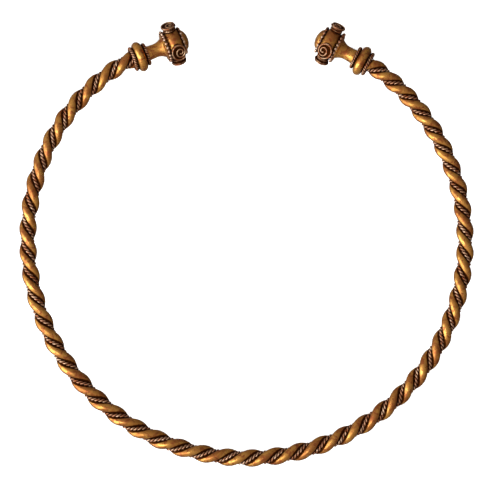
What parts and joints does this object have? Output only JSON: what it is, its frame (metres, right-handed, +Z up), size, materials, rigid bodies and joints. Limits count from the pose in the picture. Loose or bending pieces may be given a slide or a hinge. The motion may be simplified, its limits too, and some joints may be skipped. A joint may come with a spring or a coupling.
{
  "type": "gold torc",
  "caption": "Open neck ring of two thick twisted strands with a fine two-ply rope in each groove, ending in waisted terminals with beaded rings, scroll bosses and a domed tip.",
  "frame": {"origin": "on the ground under the middle of the torc's bounding box, as it lies", "axes": "+Z up, out of the plane that the torc lies in; +Y towards the gap between the terminals; +X across, towards the terminal on the right when it is seen from above"},
  "size_m": [0.1504, 0.147, 0.0149],
  "materials": {
    "gold": "antique gold, polished where worn, darkened in the hollows",
    "fine_wire": "antique gold wire, reddish and dark with tarnish, bright on its tops"
  },
  "bodies": {
    "root": {"thick_strand_a": "gold", "thick_strand_b": "gold", "fine_rope_a": "fine_wire", "fine_rope_b": "fine_wire", "left_terminal": "gold", "left_mouth_wire": "fine_wire", "left_neck_wire": "fine_wire", "left_back_beads": "fine_wire", "left_front_beads": "fine_wire", "left_boss_upper": "fine_wire", "left_boss_outer": "fine_wire", "left_boss_lower": "fine_wire", "left_boss_inner": "fine_wire", "right_terminal": "gold", "right_mouth_wire": "fine_wire", "right_neck_wire": "fine_wire", "right_back_beads": "fine_wire", "right_front_beads": "fine_wire", "right_boss_upper": "fine_wire", "right_boss_outer": "fine_wire", "right_boss_lower": "fine_wire", "right_boss_inner": "fine_wire"}
  },
  "joints": []
}
